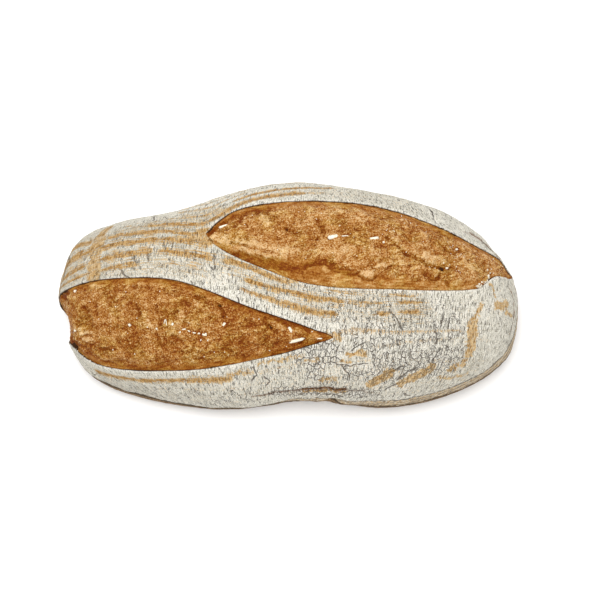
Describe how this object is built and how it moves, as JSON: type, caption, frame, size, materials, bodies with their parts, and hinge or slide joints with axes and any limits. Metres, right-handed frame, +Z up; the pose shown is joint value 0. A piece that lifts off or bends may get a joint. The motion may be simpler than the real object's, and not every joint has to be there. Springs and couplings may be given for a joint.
{
  "type": "sourdough loaf",
  "caption": "Long rustic sourdough loaf with a floured, basket-ringed crust and two long scores that have opened over torn golden-brown bread.",
  "frame": {"origin": "centre of the loaf's box, on the plane it rests on", "axes": "+X along the loaf towards its broad end, +Y across it towards the side with the longer score, +Z up"},
  "size_m": [0.3254, 0.1626, 0.09],
  "materials": {
    "crust": "dull baked crust dusted with pale flour, bare golden brown where the scores have opened"
  },
  "bodies": {
    "root": {"loaf": "crust"}
  },
  "joints": []
}
